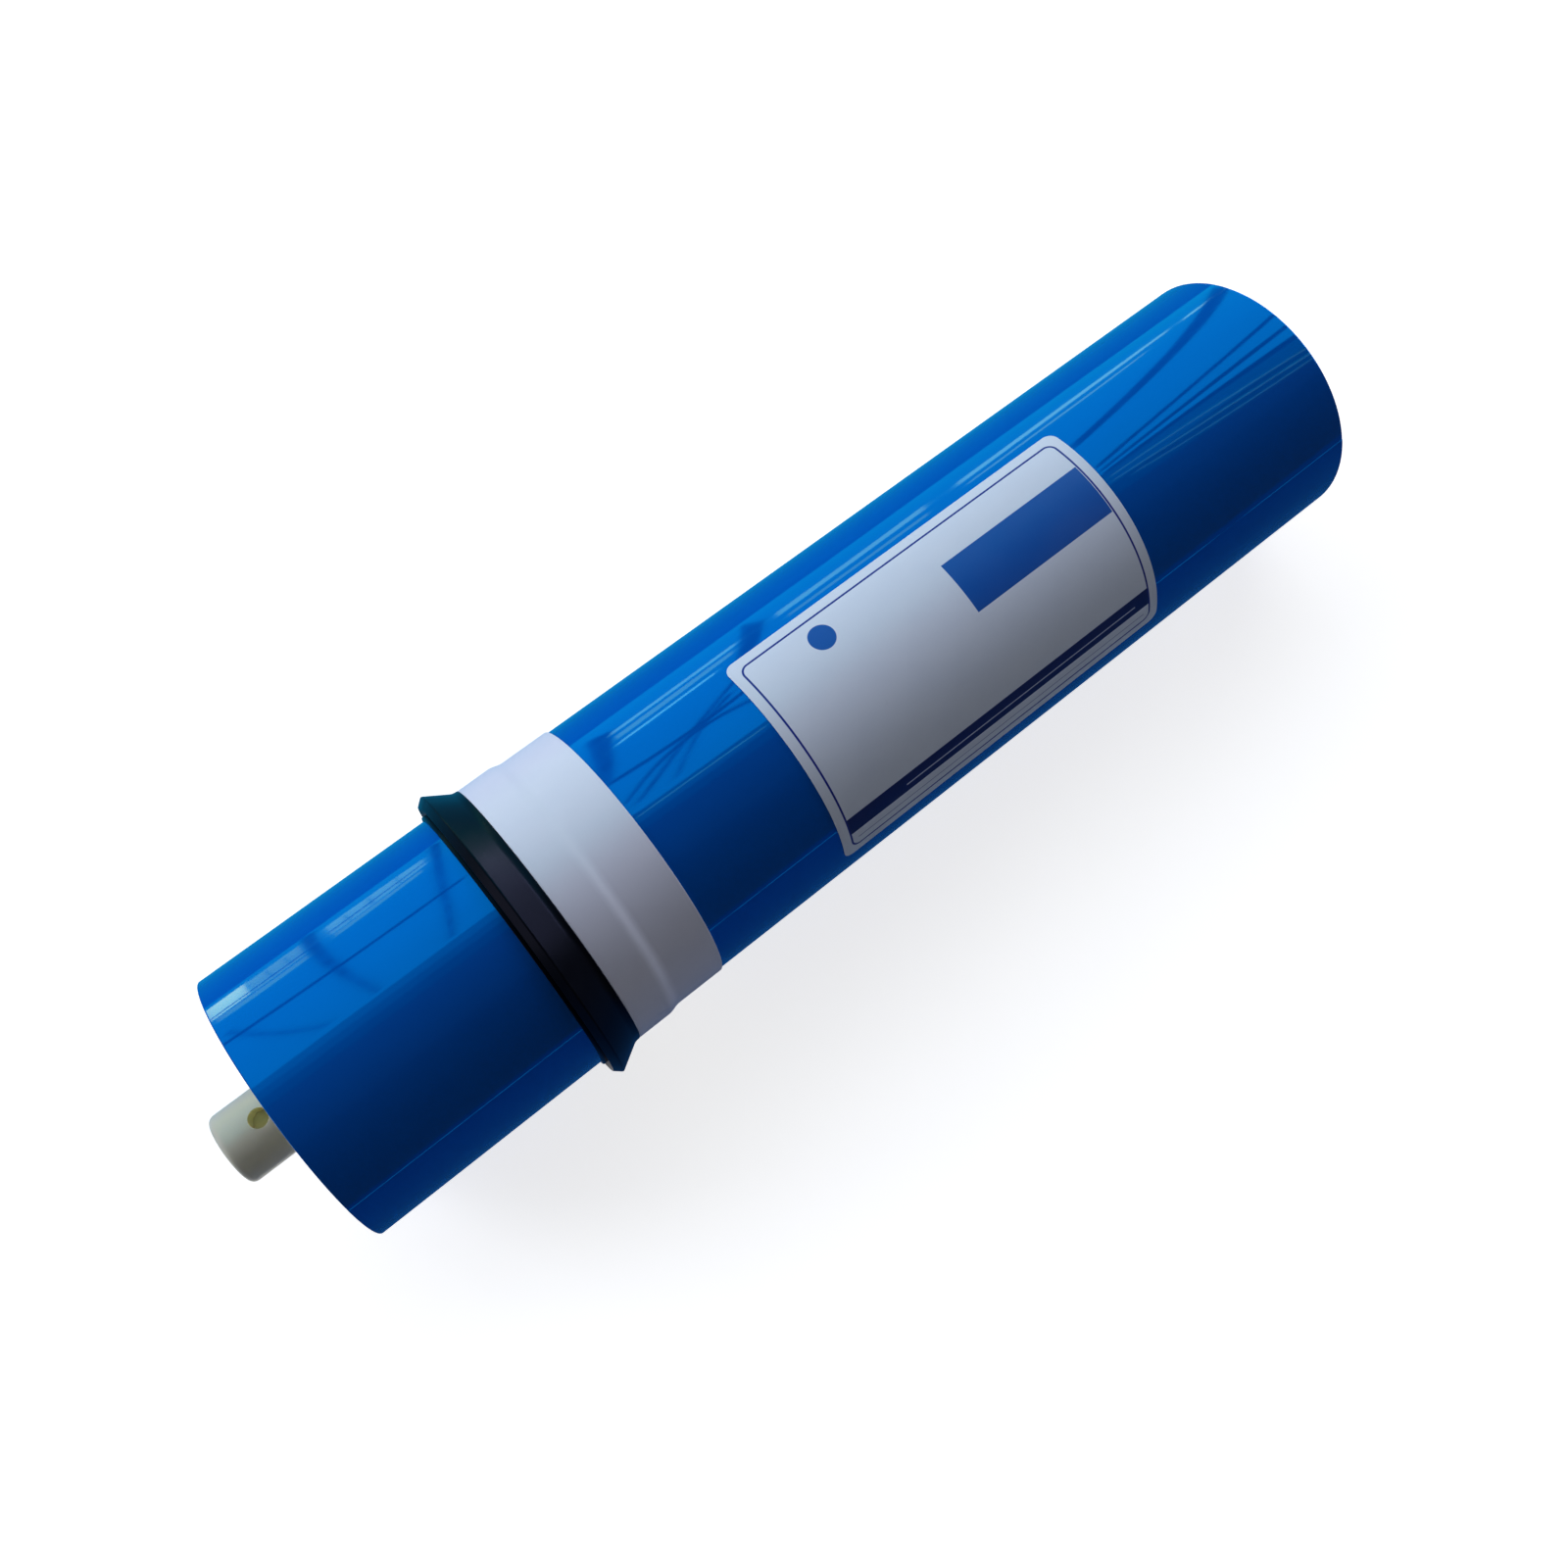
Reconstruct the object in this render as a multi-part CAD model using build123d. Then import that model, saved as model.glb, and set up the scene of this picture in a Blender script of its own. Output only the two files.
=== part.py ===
"""A spiral-wound reverse osmosis membrane element, in millimetres.

The element lies along X with its feed end at -X and +Z up. The origin is on the axis, halfway between
the two ends of the tube. Lengths called a place are measured along X from the shell's feed end.
"""

from build123d import *
import math
import os

# Shell: the blue film that is wrapped round the roll
SHELL_LENGTH = 325.0
SHELL_RADIUS = 37.5
FILM_THICKNESS = 0.8
ROLL_RECESS = 1.5

# Permeate tube: closed at the feed end, both ends turned down to three quarter inch for their sockets
TUBE_RADIUS = 9.525
TUBE_TURNED_DEPTH = 0.2
TUBE_BORE_RADIUS = 6.5
STUB_LENGTH = 17.4
STUB_RIM_BEVEL = 2.0
STUB_RIM_STEEP = 0.6
OUTLET_CHAMFER = 0.8
CLOSED_END_LENGTH = 24.0
DRIVE_HOLE_RADIUS = 2.5
DRIVE_HOLE_PLACE = -6.4
DRIVE_HOLE_DEPTH = 5.0
PERFORATION_RADIUS = 1.5
PERFORATION_MARGIN = 42.0
PERFORATION_PITCH = 60.0

# Roll: membrane leaves with a feed spacer on each, wound together on a wrap of carrier cloth
CORE_WRAP_THICKNESS = 0.8
LEAF_COUNT = 4
FLATS_BETWEEN_LEAVES = 6
LEAF_THICKNESS = 1.25
SPACER_THICKNESS = 1.45

# Seal collar: the stepped white ring behind the brine seal
COLLAR_BAND_WALL = 1.15
COLLAR_BAND_LENGTH = 10.1
COLLAR_STEP_LENGTH = 2.5
COLLAR_SKIRT_LENGTH = 14.1
COLLAR_SKIRT_WALL = 0.4

# Brine seal: a lip seal whose mouth opens towards the feed end
SEAL_PLACE = 65.3
SEAL_WIDTH = 11.0
SEAL_HEEL_HEIGHT = 1.25
SEAL_HEEL_LAND = 1.3
SEAL_LIP_HEIGHT = 5.35
SEAL_LIP_PLACE = 2.9
SEAL_LIP_FRONT_DROP = 1.8
SEAL_LIP_SETBACK = 0.8
SEAL_FOOT_HEIGHT = 0.9
SEAL_MOUTH_DEPTH = 6.2

# Label: a film label on the shell, up and towards -Y
LABEL_PLACE = 143.4
LABEL_LENGTH = 109.6
LABEL_HEIGHT = 65.5
LABEL_THICKNESS = 0.15
LABEL_CORNER_RADIUS = 3.6
LABEL_TURN = 29.8

# Slip fit of a ring or a label on the shell
SLIP_CLEARANCE = 0.05

FEED_END = -SHELL_LENGTH / 2
FILM_BORE_RADIUS = SHELL_RADIUS - FILM_THICKNESS
ROLL_LENGTH = SHELL_LENGTH - 2 * ROLL_RECESS
TUBE_BODY_RADIUS = TUBE_RADIUS + TUBE_TURNED_DEPTH
CORE_RADIUS = TUBE_BODY_RADIUS + CORE_WRAP_THICKNESS
SEAT_RADIUS = SHELL_RADIUS + SLIP_CLEARANCE
FLATS_PER_TURN = LEAF_COUNT * FLATS_BETWEEN_LEAVES


def at_place(place):
    """X of a place that is measured from the shell's feed end."""
    return FEED_END + place


def turned_ring(profile):
    """The solid that a closed outline of (x, radius) points sweeps about the axis."""
    outline = make_face(Polyline(*profile, close=True))
    return revolve(outline, Axis.X)


def round_bar(radius, start, length):
    """A bar round the axis that runs from X = start towards +X."""
    return Plane.YZ.offset(start) * extrude(Circle(radius), length)


def winding_steps():
    """Flats from where a sheet's inner face leaves the core to where it meets the film.

    The sheets fill the space between the core wrap and the film in whole steps from leaf to leaf.
    """
    room = FILM_BORE_RADIUS - CORE_RADIUS
    stacks = max(LEAF_COUNT, round(room / (LEAF_THICKNESS + SPACER_THICKNESS)))
    return stacks * FLATS_BETWEEN_LEAVES


def boundary_radius(leaf, step):
    """Radius of the face under a leaf at a flat's corner: it lies on the core, climbs, then lies on the film."""
    climbed = (step - leaf * FLATS_BETWEEN_LEAVES) / winding_steps()
    share = min(max(climbed, 0.0), 1.0)
    return CORE_RADIUS + share * (FILM_BORE_RADIUS - CORE_RADIUS)


def winding_point(radius, step):
    """A flat's corner in the YZ plane."""
    angle = 2 * math.pi * step / FLATS_PER_TURN
    return (radius * math.cos(angle), radius * math.sin(angle))


def wound_sheet(leaf, inner_share, outer_share):
    """One sheet of the roll, between two shares of the height from a leaf's inner face to its outer face.

    It starts as a wedge on the core wrap, lies on its neighbours flat by flat, and ends as a wedge
    under the film.
    """
    first = (leaf - 1) * FLATS_BETWEEN_LEAVES
    last = leaf * FLATS_BETWEEN_LEAVES + winding_steps()

    def corner(step, share):
        inner = boundary_radius(leaf, step)
        outer = boundary_radius(leaf - 1, step)
        return winding_point(inner + share * (outer - inner), step)

    inner_face = [corner(step, inner_share) for step in range(first, last + 1)]
    outer_face = [corner(step, outer_share) for step in range(last - 1, first, -1)]
    section = make_face(Polyline(*inner_face, *outer_face, close=True))
    return Plane.YZ.offset(at_place(ROLL_RECESS)) * extrude(section, ROLL_LENGTH)


def polygon_bar(radius, start, length):
    """A bar with one flat for each flat of the winding, its corners at the radius."""
    corners = [winding_point(radius, step) for step in range(FLATS_PER_TURN)]
    return Plane.YZ.offset(start) * extrude(make_face(Polyline(*corners, close=True)), length)


def membrane_leaf(leaf):
    """A glued envelope: two membrane sheets with carrier cloth between them."""
    share = LEAF_THICKNESS / (LEAF_THICKNESS + SPACER_THICKNESS)
    return wound_sheet(leaf, 0.0, share)


def feed_spacer(leaf):
    """The net that keeps a feed channel open on the outside of a leaf."""
    share = LEAF_THICKNESS / (LEAF_THICKNESS + SPACER_THICKNESS)
    return wound_sheet(leaf, share, 1.0)


def core_carrier():
    """The turn of carrier cloth on the tube, with flats that the first turn of the roll lies on."""
    start = at_place(ROLL_RECESS)
    return polygon_bar(CORE_RADIUS, start, ROLL_LENGTH) - round_bar(TUBE_BODY_RADIUS, start, ROLL_LENGTH)


def outer_wrap():
    """The film shell: round outside, shrunk on to the roll's flats inside, and open past its ends."""
    shell = round_bar(SHELL_RADIUS, FEED_END, SHELL_LENGTH)
    return shell - polygon_bar(FILM_BORE_RADIUS, FEED_END, SHELL_LENGTH)


def tube_blank():
    """The tube with its closed feed end, eased by two bevels, and its chamfered open end.

    Its body fills the core wrap from end to end of the roll, between the two turned ends.
    """
    feed_tip = at_place(-STUB_LENGTH)
    outlet = at_place(SHELL_LENGTH + STUB_LENGTH)
    body_start = at_place(ROLL_RECESS)
    body_end = body_start + ROLL_LENGTH
    blank = turned_ring([
        (feed_tip, 0),
        (feed_tip, TUBE_RADIUS - STUB_RIM_BEVEL),
        (feed_tip + STUB_RIM_STEEP, TUBE_RADIUS - STUB_RIM_STEEP),
        (feed_tip + STUB_RIM_BEVEL, TUBE_RADIUS),
        (body_start, TUBE_RADIUS),
        (body_start, TUBE_BODY_RADIUS),
        (body_end, TUBE_BODY_RADIUS),
        (body_end, TUBE_RADIUS),
        (outlet - OUTLET_CHAMFER, TUBE_RADIUS),
        (outlet, TUBE_RADIUS - OUTLET_CHAMFER),
        (outlet, 0),
    ])
    bore_start = feed_tip + CLOSED_END_LENGTH
    return blank - round_bar(TUBE_BORE_RADIUS, bore_start, outlet - bore_start)


def perforations():
    """Drills from the axis out through the tube's wall, each a quarter turn on from the last."""
    row_length = SHELL_LENGTH - 2 * PERFORATION_MARGIN
    gaps = max(1, round(row_length / PERFORATION_PITCH))
    drill = extrude(Circle(PERFORATION_RADIUS), 2 * TUBE_BODY_RADIUS)
    for index in range(gaps + 1):
        place = PERFORATION_MARGIN + index * row_length / gaps
        yield Pos(at_place(place), 0, 0) * Rot(X=90 * index) * drill


def permeate_tube():
    """The perforated tube that carries the roll and leads the clean water out."""
    tube = tube_blank()
    for drill in perforations():
        tube -= drill
    floor = TUBE_RADIUS - DRIVE_HOLE_DEPTH
    drive_hole = extrude(Circle(DRIVE_HOLE_RADIUS), 2 * DRIVE_HOLE_DEPTH)
    return tube - Pos(at_place(DRIVE_HOLE_PLACE), 0, floor) * drive_hole


def seal_collar():
    """The stepped ring: a raised band that backs the seal, a sloped step and a thin skirt."""
    front = at_place(SEAL_PLACE + SEAL_WIDTH)
    band_end = front + COLLAR_BAND_LENGTH
    step_end = band_end + COLLAR_STEP_LENGTH
    skirt_end = step_end + COLLAR_SKIRT_LENGTH
    band_radius = SEAT_RADIUS + COLLAR_BAND_WALL
    skirt_radius = SEAT_RADIUS + COLLAR_SKIRT_WALL
    return turned_ring([
        (front, SEAT_RADIUS),
        (front, band_radius),
        (band_end, band_radius),
        (step_end, skirt_radius),
        (skirt_end, skirt_radius),
        (skirt_end, SEAT_RADIUS),
    ])


def brine_seal():
    """The lip seal: a foot on the shell and a flared lip, with an open mouth between them."""
    front = at_place(SEAL_PLACE)
    heel = front + SEAL_WIDTH
    lip_front = front + SEAL_LIP_SETBACK
    lip_radius = SEAT_RADIUS + SEAL_LIP_HEIGHT
    heel_radius = SEAT_RADIUS + SEAL_HEEL_HEIGHT
    return turned_ring([
        (front, SEAT_RADIUS),
        (front, SEAT_RADIUS + SEAL_FOOT_HEIGHT),
        (front + SEAL_MOUTH_DEPTH, SEAT_RADIUS + SEAL_FOOT_HEIGHT),
        (lip_front, lip_radius - SEAL_LIP_FRONT_DROP),
        (front + SEAL_LIP_PLACE, lip_radius),
        (heel - SEAL_HEEL_LAND, heel_radius),
        (heel, heel_radius),
        (heel, SEAT_RADIUS),
    ])


def label_corner(x_side, turn_side):
    """What rounding takes off one corner of the label: a square standing radially, less a round post."""
    radius = LABEL_CORNER_RADIUS
    square = Pos(x_side * radius, -turn_side * radius) * Rectangle(2 * radius, 2 * radius)
    cutter = extrude(square - Circle(radius), 2 * SHELL_RADIUS)
    turn = math.degrees((LABEL_HEIGHT / 2 - radius) / SHELL_RADIUS)
    place = LABEL_PLACE + LABEL_LENGTH / 2 + x_side * (LABEL_LENGTH / 2 - radius)
    return Rot(X=LABEL_TURN + turn_side * turn) * Pos(at_place(place), 0, 0) * cutter


def label():
    """A curved sheet on the shell, with rounded corners."""
    start = at_place(LABEL_PLACE)
    end = start + LABEL_LENGTH
    outer = SEAT_RADIUS + LABEL_THICKNESS
    section = make_face(Polyline((start, SEAT_RADIUS), (start, outer), (end, outer), (end, SEAT_RADIUS), close=True))
    arc = math.degrees(LABEL_HEIGHT / SHELL_RADIUS)
    sheet = Rot(X=90 + LABEL_TURN - arc / 2) * revolve(section, Axis.X, arc)
    for x_side in (-1, 1):
        for turn_side in (-1, 1):
            sheet -= label_corner(x_side, turn_side)
    return sheet


def write_part(name, shape):
    """Write one sub-part to parts/NAME.step."""
    shape.label = name
    export_step(shape, f"parts/{name}.step")


def main():
    """Build each piece and write it."""
    os.makedirs("parts", exist_ok=True)
    write_part("permeate_tube", permeate_tube())
    write_part("core_carrier", core_carrier())
    for leaf in range(1, LEAF_COUNT + 1):
        write_part(f"membrane_leaf_{leaf}", membrane_leaf(leaf))
        write_part(f"feed_spacer_{leaf}", feed_spacer(leaf))
    write_part("outer_wrap", outer_wrap())
    write_part("seal_collar", seal_collar())
    write_part("brine_seal", brine_seal())
    write_part("label", label())


main()
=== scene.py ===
"""Looks of a spiral-wound reverse osmosis membrane element, built round its CAD frame.

Sizes are written in millimetres and turned to metres when a mesh is made. The element lies along X with
its feed end at -X and +Z up. A place is a length from the blue shell's feed end. A turn is an angle round
the axis in degrees, from +Z towards -Y.
"""

import logging
import math
from dataclasses import dataclass
from enum import Enum
from typing import Sequence

import bmesh
import bpy
import numpy as np
from bpy.types import ID, Material, Node, NodeSocket, NodeTree, Object
from mathutils import Matrix, Vector


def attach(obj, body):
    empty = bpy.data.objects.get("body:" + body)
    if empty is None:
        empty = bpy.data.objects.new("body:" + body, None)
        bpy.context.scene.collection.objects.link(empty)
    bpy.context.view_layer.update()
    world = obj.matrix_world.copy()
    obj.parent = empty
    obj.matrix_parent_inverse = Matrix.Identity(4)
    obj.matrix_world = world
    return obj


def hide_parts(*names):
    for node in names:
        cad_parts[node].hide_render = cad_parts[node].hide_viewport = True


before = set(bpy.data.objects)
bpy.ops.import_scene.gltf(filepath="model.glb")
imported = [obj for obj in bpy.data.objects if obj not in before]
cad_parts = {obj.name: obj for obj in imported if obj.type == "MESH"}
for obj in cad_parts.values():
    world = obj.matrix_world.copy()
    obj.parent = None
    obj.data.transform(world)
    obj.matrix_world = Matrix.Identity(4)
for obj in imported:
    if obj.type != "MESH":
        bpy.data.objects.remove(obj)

log = logging.getLogger("membrane_element")
Array = np.ndarray
MM = 0.001
SHELL_LENGTH = 325.0
SHELL_RADIUS = 37.5
ROLL_HALF = 161.0
SEAT_RADIUS = 37.55
HOLD = 0.05
PRINT_BLUR = 0.06


class Slot(Enum):
    """Names of material slots, one for each kind of piece."""

    TUBE = "tube_plastic"
    CARRIER = "carrier_cloth"
    MEMBRANE = "membrane_sheet"
    SPACER = "spacer_net"
    SHELL = "shell_film"
    COLLAR = "collar_plastic"
    SEAL = "seal_rubber"
    LABEL = "label_film"


def place_x(place: float) -> float:
    """X in mm of a place along the shell."""
    return place - SHELL_LENGTH / 2


# ---- colour and nodes


def linear(hex_colour: str) -> tuple[float, float, float, float]:
    """Turns an sRGB hex colour to linear RGBA.

    Args:
        hex_colour: Six hex digits after a hash.

    Returns:
        Linear red, green and blue by the sRGB curve, and an alpha of 1.
    """
    value = np.array([int(hex_colour[i : i + 2], 16) for i in (1, 3, 5)]) / 255.0
    out = np.where(value <= 0.04045, value / 12.92, ((value + 0.055) / 1.055) ** 2.4)
    return (*map(float, out), 1.0)


def add_node(tree: NodeTree, kind: str, inputs: dict | Sequence = (), **settings: object) -> Node:
    """Adds a node with its settings and links.

    Args:
        tree: The node tree to add to.
        kind: The node's type, less its first word ShaderNode.
        inputs: Values by socket name or in socket order. A node stands for its first output, and a socket is linked.
        **settings: Properties of the node.

    Returns:
        The new node.
    """
    node = tree.nodes.new("ShaderNode" + kind)
    for name, value in settings.items():
        setattr(node, name, value)
    pairs = inputs.items() if isinstance(inputs, dict) else enumerate(inputs)
    for key, value in pairs:
        if isinstance(value, Node):
            value = value.outputs[0]
        if isinstance(value, NodeSocket):
            tree.links.new(value, node.inputs[key])
        elif value is not None:
            node.inputs[key].default_value = value
    return node


def new_material(name: str) -> tuple[Material, NodeTree]:
    """Makes an empty node material and returns it with its tree."""
    material = bpy.data.materials.new(name)
    material.use_nodes = True
    material.node_tree.nodes.clear()
    return material, material.node_tree


def finish_with(tree: NodeTree, ground: str, coats: Sequence[tuple], bumps: Sequence[tuple], surface: dict) -> None:
    """Closes a material with a Principled shader.

    Args:
        tree: The material's tree.
        ground: Its first colour in hex.
        coats: Shares and hex colours that are mixed over it in turn.
        bumps: Height, strength and depth in mm of each bump, one on the other.
        surface: The shader's other inputs by socket name.
    """
    colour, normal = linear(ground), None
    for share, paint in coats:
        colour = add_node(tree, "Mix", {0: share, 6: colour, 7: linear(paint)}, data_type="RGBA").outputs[2]
    for height, strength, depth in bumps:
        relief = {"Height": height, "Strength": strength, "Distance": depth * MM, "Normal": normal}
        normal = add_node(tree, "Bump", relief)
    shader = add_node(tree, "BsdfPrincipled", {"Base Color": colour, "Normal": normal, **surface})
    add_node(tree, "OutputMaterial", {"Surface": shader})


def stretched_noise(tree: NodeTree, grain: tuple[float, float, float], detail: float) -> Node:
    """Noise on Object coordinates with its own grain along each axis.

    Args:
        tree: The material's tree.
        grain: Size of one blotch along X, Y and Z in mm.
        detail: Octaves of the noise.

    Returns:
        The noise node, whose first output is its height from 0 to 1.
    """
    place = add_node(tree, "TexCoord").outputs["Object"]
    scale = tuple(1.0 / (MM * size) for size in grain)
    stretched = add_node(tree, "VectorMath", (place, scale), operation="MULTIPLY")
    return add_node(tree, "TexNoise", {"Vector": stretched, "Scale": 1.0, "Detail": detail})


# ---- finishes


@dataclass(frozen=True)
class WrappedFilm:
    """Polyester film wrapped over the roll with adhesive, blue all through and calendered glossy.

    The eye sees deep saturated blue whose reflections stay blue, slightly wavy, with a faint print of the
    winding through the film and a clear thin gloss on top.
    """

    name: str = "wrapped_blue_polyester_film"
    blue: str = "#0061CB"
    deep_blue: str = "#005AC3"
    wave_length_mm: float = 70.0
    wave_width_mm: float = 9.0

    def build(self) -> Material:
        """Makes the film's material."""
        material, tree = new_material(self.name)
        broad = stretched_noise(tree, (self.wave_length_mm, self.wave_width_mm, self.wave_width_mm), 1.0)
        fine = stretched_noise(tree, (9.0, 1.6, 1.6), 2.0)
        gloss = add_node(tree, "MapRange", (fine, 0.3, 0.8, 0.05, 0.08))
        bumps = ((broad, 0.10, 0.6), (fine, 0.05, 0.05))
        finish_with(tree, self.blue, [(broad, self.deep_blue)], bumps, {
            "Metallic": 0.3, "Roughness": gloss, "Specular IOR Level": 0.5, "Specular Tint": linear("#00FFE1"),
            "Coat Weight": 0.25, "Coat Roughness": 0.03, "Coat IOR": 1.5,
        })
        return material


@dataclass(frozen=True)
class MouldedPlastic:
    """Injection-moulded plastic with a satin skin.

    The eye sees a soft broad highlight, faint flow clouding, and a fine grain that takes off the mirror.
    """

    name: str
    colour: str
    cloud: str
    roughness: float = 0.42
    grain_mm: float = 0.5
    glow: float = 0.0

    def build(self) -> Material:
        """Makes the plastic's material. Its real grain of some 0.05 mm is drawn ten times coarser to show."""
        material, tree = new_material(self.name)
        clouds = stretched_noise(tree, (16.0, 9.0, 9.0), 3.0)
        grain = stretched_noise(tree, (self.grain_mm,) * 3, 2.0)
        rough = add_node(tree, "MapRange", (clouds, 0.0, 1.0, self.roughness - 0.08, self.roughness + 0.08))
        surface = {"Roughness": rough}
        if self.glow:
            radius = (1.0, 0.9, 0.6)
            surface |= {"Subsurface Weight": self.glow, "Subsurface Radius": radius, "Subsurface Scale": 2.0 * MM}
        finish_with(tree, self.colour, [(clouds, self.cloud)], [(grain, 0.12, 0.04)], surface)
        return material


@dataclass(frozen=True)
class MouldedRubber:
    """EPDM rubber from a turned steel mould.

    The eye sees charcoal black with a soft wide highlight, fine turning rings left by the mould, and dust
    that greys it in patches.
    """

    name: str = "moulded_epdm_rubber"
    black: str = "#050609"
    dusty: str = "#0A0C10"

    def build(self) -> Material:
        """Makes the rubber's material."""
        material, tree = new_material(self.name)
        dust = stretched_noise(tree, (7.0, 7.0, 7.0), 2.0)
        rings = stretched_noise(tree, (0.35, 60.0, 60.0), 1.0)
        rough = add_node(tree, "MapRange", (dust, 0.0, 1.0, 0.24, 0.40))
        finish_with(tree, self.black, [(dust, self.dusty)], [(rings, 0.10, 0.05)], {
            "Roughness": rough, "Specular IOR Level": 0.13, "Specular Tint": linear("#B6BAFF"),
        })
        return material


@dataclass(frozen=True)
class SheetPolymer:
    """Cast polymer sheet, cloth or net cut across with a blade.

    The eye sees a dry matt edge with fibres and a little glue staining where the sheet was bonded.
    """

    name: str
    colour: str
    stain: str
    grain_mm: float = 0.6
    roughness: float = 0.7

    def build(self) -> Material:
        """Makes the sheet's material. Its stain lies in blotches about 8 mm across."""
        material, tree = new_material(self.name)
        blotch = stretched_noise(tree, (8.0, 8.0, 8.0), 3.0)
        fibre = stretched_noise(tree, (self.grain_mm,) * 3, 3.0)
        share = add_node(tree, "MapRange", (blotch, 0.42, 0.68, 0.0, 1.0))
        finish_with(tree, self.colour, [(share, self.stain)], [(fibre, 0.35, 0.1)], {"Roughness": self.roughness})
        return material


@dataclass(frozen=True)
class PrintMark:
    """One printed shape on the label: a rectangle with rounded corners, filled or drawn as a line.

    Its places are in mm from the label's left and lower edges.
    """

    left: float
    low: float
    right: float
    high: float
    colour: str
    corner: float = 0.0
    line: float = 0.0

    def mask(self, tree: NodeTree, plane: Node) -> Node:
        """Adds the nodes that give 1 in the print and 0 outside it.

        The distance from the shape's edge is the length of what the point lies beyond the inner corner
        posts, plus the larger of its two depths where both are negative, less the corner's radius.

        Args:
            tree: The label's tree.
            plane: The node that gives the point in mm.

        Returns:
            The node of the mask.
        """
        middle = ((self.left + self.right) / 2, (self.low + self.high) / 2, 0.0)
        post = ((self.right - self.left) / 2 - self.corner, (self.high - self.low) / 2 - self.corner, 0.0)
        past = plane
        for operation, other in (("SUBTRACT", middle), ("ABSOLUTE", None), ("SUBTRACT", post)):
            past = add_node(tree, "VectorMath", (past, other), operation=operation)
        beyond = add_node(tree, "VectorMath", (past, (0.0, 0.0, 0.0)), operation="MAXIMUM")
        length = add_node(tree, "VectorMath", (beyond,), operation="LENGTH").outputs["Value"]
        sides = add_node(tree, "SeparateXYZ", (past,))
        deep = add_node(tree, "Math", (sides.outputs[0], sides.outputs[1]), operation="MAXIMUM")
        inside = add_node(tree, "Math", (deep, 0.0), operation="MINIMUM")
        whole = add_node(tree, "Math", (length, inside), operation="ADD")
        edge = add_node(tree, "Math", (whole, self.corner), operation="SUBTRACT")
        if self.line:
            around = add_node(tree, "Math", (edge,), operation="ABSOLUTE")
            edge = add_node(tree, "Math", (around, self.line / 2), operation="SUBTRACT")
        return add_node(tree, "MapRange", (edge, PRINT_BLUR, -PRINT_BLUR, 0.0, 1.0))


@dataclass(frozen=True)
class PrintedFilm:
    """Silver-white polypropylene label film, offset printed and varnished.

    The eye sees a cool pearly ground with a slight metal flake, crisp navy lines and fields, and a smooth
    varnish that follows every small wave of the film under it.
    """

    marks: tuple[PrintMark, ...]
    name: str = "printed_silver_label_film"
    ground: str = "#E6EEF8"
    pearl: str = "#DFE8F5"
    uv_map: str = "label_mm"

    def build(self) -> Material:
        """Makes the label's material from its printed marks."""
        material, tree = new_material(self.name)
        plane = add_node(tree, "UVMap", uv_map=self.uv_map)
        flake = stretched_noise(tree, (9.0, 7.0, 7.0), 2.0)
        coats = [(flake, self.pearl), *((mark.mask(tree, plane), mark.colour) for mark in self.marks)]
        wave = stretched_noise(tree, (14.0, 6.0, 6.0), 1.0)
        rough = add_node(tree, "MapRange", (flake, 0.0, 1.0, 0.24, 0.38))
        finish_with(tree, self.ground, coats, [(wave, 0.05, 0.2)], {"Roughness": rough, "Specular IOR Level": 0.25})
        return material


# ---- surfaces


def placed(name: str, data: ID) -> Object:
    """Makes an object of a mesh, lamp or camera and puts it in the scene."""
    thing = bpy.data.objects.new(name, data)
    bpy.context.scene.collection.objects.link(thing)
    return thing


def points_at(x: Array | float, y: Array | float, z: Array | float) -> Array:
    """Puts coordinates that broadcast together in one array of points."""
    return np.stack(np.broadcast_arrays(x, y, z), -1)


def round_axis(x: Array, radius: Array | float, angle: Array) -> Array:
    """Points at X, with Y minus the radius times the angle's sine, and Z the radius times its cosine."""
    return points_at(x, -radius * np.sin(angle), radius * np.cos(angle))


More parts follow.
